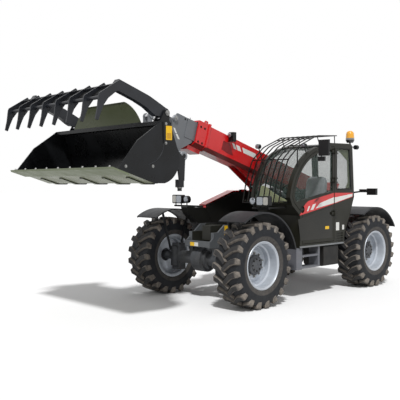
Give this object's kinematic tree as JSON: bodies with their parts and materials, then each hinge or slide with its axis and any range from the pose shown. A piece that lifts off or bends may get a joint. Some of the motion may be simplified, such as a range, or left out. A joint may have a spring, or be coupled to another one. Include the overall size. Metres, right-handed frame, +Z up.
{
  "type": "telehandler with grapple bucket",
  "caption": "Rough-terrain telescopic handler with side cab, long boom and a bucket with a tined grapple.",
  "frame": {"origin": "centre of the bounding box in X and Y, on the ground under the tyres", "axes": "+X forward, +Y to the machine's left, +Z up"},
  "size_m": [6.348, 2.61, 2.878],
  "materials": {
    "red_paint": "gloss paint",
    "blue_grey_paint": "satin paint",
    "black_paint": "satin paint",
    "grey_paint": "matt paint",
    "cast": "painted casting",
    "tyre": "matt rubber",
    "rim_paint": "gloss paint",
    "chromed": "polished",
    "worn_steel": "worn bare steel",
    "clear_glass": "clear",
    "seat_cloth": "woven",
    "plastic": "moulded",
    "amber": "amber lens"
  },
  "bodies": {
    "machine": {"chassis": "grey_paint", "counterweight": "cast", "front_axle": "cast", "rear_axle": "cast", "cab_frame": "black_paint", "cab_glass": "clear_glass", "windscreen_guard": "black_paint", "seat": "seat_cloth", "console": "plastic", "beacon": "amber", "work_lamps": "plastic", "cab_step": "blue_grey_paint", "fuel_tank": "plastic", "engine_housing": "black_paint", "engine": "cast", "headlights": "plastic", "mirror": "plastic", "rear_lights": "plastic"},
    "cab_door": {"door": "black_paint", "door_glass": "clear_glass"},
    "engine_hood": {"hood": "red_paint"},
    "boom": {"boom_outer": "red_paint", "boom_lamp": "plastic"},
    "boom_extension": {"boom_inner": "grey_paint"},
    "tool_carriage": {"carriage": "black_paint", "bucket": "black_paint", "cutting_edge": "worn_steel"},
    "grab": {"grapple": "black_paint"},
    "lift_tube": {"lift_cylinder_tube": "black_paint"},
    "lift_rod": {"lift_cylinder_rod": "chromed"},
    "tilt_tube": {"tilt_cylinder_tube": "black_paint"},
    "tilt_rod": {"tilt_cylinder_rod": "chromed"},
    "grab_tubes": {"grapple_cylinder_tubes": "black_paint"},
    "grab_rods": {"grapple_cylinder_rods": "chromed"},
    "front_left_steering": {"front_left_knuckle": "cast", "front_left_fender": "black_paint"},
    "front_left_wheel": {"front_left_tyre": "tyre", "front_left_rim": "rim_paint"},
    "front_right_steering": {"front_right_knuckle": "cast", "front_right_fender": "black_paint"},
    "front_right_wheel": {"front_right_tyre": "tyre", "front_right_rim": "rim_paint"},
    "rear_left_steering": {"rear_left_knuckle": "cast", "rear_left_fender": "black_paint"},
    "rear_left_wheel": {"rear_left_tyre": "tyre", "rear_left_rim": "rim_paint"},
    "rear_right_steering": {"rear_right_knuckle": "cast", "rear_right_fender": "black_paint"},
    "rear_right_wheel": {"rear_right_tyre": "tyre", "rear_right_rim": "rim_paint"}
  },
  "joints": [
    {"name": "boom_lift", "type": "hinge", "parent": "machine", "child": "boom", "pos_m": [-2.544, -0.165, 1.49998], "axis": [0, -1, 0], "range_deg": [-18, 45]},
    {"name": "boom_extend", "type": "slide", "parent": "boom", "child": "boom_extension", "axis": [0.9603, 0, 0.279], "range_m": [0, 2.2]},
    {"name": "carriage_tilt", "type": "hinge", "parent": "boom_extension", "child": "tool_carriage", "pos_m": [1.206, -0.165, 2.08998], "axis": [0, 1, 0], "range_deg": [-12, 60]},
    {"name": "grapple_open", "type": "hinge", "parent": "tool_carriage", "child": "grab", "pos_m": [2.116, -0.165, 2.54998], "axis": [0, -1, 0], "range_deg": [-24, 50]},
    {"name": "lift_tube_swing", "type": "hinge", "parent": "machine", "child": "lift_tube", "pos_m": [-2.244, -0.165, 0.84998], "axis": [0, -1, 0], "range_deg": [-16.58, 41.15]},
    {"name": "lift_rod_slide", "type": "slide", "parent": "lift_tube", "child": "lift_rod", "axis": [0.8957, 0, 0.4446], "range_m": [-0.2108, 0.524]},
    {"name": "tilt_tube_swing", "type": "hinge", "parent": "boom_extension", "child": "tilt_tube", "pos_m": [0.886, -0.165, 2.45998], "axis": [0, 1, 0], "range_deg": [-7.76, 38]},
    {"name": "tilt_rod_slide", "type": "slide", "parent": "tilt_tube", "child": "tilt_rod", "axis": [0.9762, 0, 0.2169], "range_m": [-0.074, 0.362]},
    {"name": "grapple_tube_swing", "type": "hinge", "parent": "tool_carriage", "child": "grab_tubes", "pos_m": [2.051, -0.165, 2.08998], "axis": [0, -1, 0], "range_deg": [-3.2, 1.64]},
    {"name": "grapple_rod_slide", "type": "slide", "parent": "grab_tubes", "child": "grab_rods", "axis": [0.2763, 0, 0.9611], "range_m": [-0.0308, 0.062]},
    {"name": "front_left_steer", "type": "hinge", "parent": "machine", "child": "front_left_steering", "pos_m": [0.506, 0.5, 0.59498], "axis": [0, 0, 1], "range_deg": [-30, 30]},
    {"name": "front_left_spin", "type": "hinge", "parent": "front_left_steering", "child": "front_left_wheel", "pos_m": [0.506, 0.75, 0.59498], "axis": [0, 1, 0], "continuous": true},
    {"name": "front_right_steer", "type": "hinge", "parent": "machine", "child": "front_right_steering", "pos_m": [0.506, -0.83, 0.59498], "axis": [0, 0, 1], "range_deg": [-30, 30]},
    {"name": "front_right_spin", "type": "hinge", "parent": "front_right_steering", "child": "front_right_wheel", "pos_m": [0.506, -1.08, 0.59498], "axis": [0, 1, 0], "continuous": true},
    {"name": "rear_left_steer", "type": "hinge", "parent": "machine", "child": "rear_left_steering", "pos_m": [-2.351, 0.5, 0.59498], "axis": [0, 0, 1], "range_deg": [-30, 30]},
    {"name": "rear_left_spin", "type": "hinge", "parent": "rear_left_steering", "child": "rear_left_wheel", "pos_m": [-2.351, 0.75, 0.59498], "axis": [0, 1, 0], "continuous": true},
    {"name": "rear_right_steer", "type": "hinge", "parent": "machine", "child": "rear_right_steering", "pos_m": [-2.351, -0.83, 0.59498], "axis": [0, 0, 1], "range_deg": [-30, 30]},
    {"name": "rear_right_spin", "type": "hinge", "parent": "rear_right_steering", "child": "rear_right_wheel", "pos_m": [-2.351, -1.08, 0.59498], "axis": [0, 1, 0], "continuous": true},
    {"name": "door_swing", "type": "hinge", "parent": "machine", "child": "cab_door", "pos_m": [-1.274, 0.879, 1.24998], "axis": [0, 0, 1], "range_deg": [0, 90]},
    {"name": "hood_lift", "type": "hinge", "parent": "machine", "child": "engine_hood", "pos_m": [-1.044, -0.477, 1.60798], "axis": [-1, 0, 0], "range_deg": [0, 50]}
  ],
  "couplings": [
    {"joint": "lift_tube_swing", "follows": "boom_lift", "ratio": 0.91},
    {"joint": "lift_rod_slide", "follows": "boom_lift", "m_per_rad": 0.6646},
    {"joint": "tilt_tube_swing", "follows": "carriage_tilt", "ratio": 0.63},
    {"joint": "tilt_rod_slide", "follows": "carriage_tilt", "m_per_rad": 0.3438},
    {"joint": "grapple_tube_swing", "follows": "grapple_open", "ratio": -0.06},
    {"joint": "grapple_rod_slide", "follows": "grapple_open", "m_per_rad": 0.0688},
    {"joint": "front_right_steer", "follows": "front_left_steer", "ratio": 1},
    {"joint": "rear_right_steer", "follows": "rear_left_steer", "ratio": 1}
  ]
}
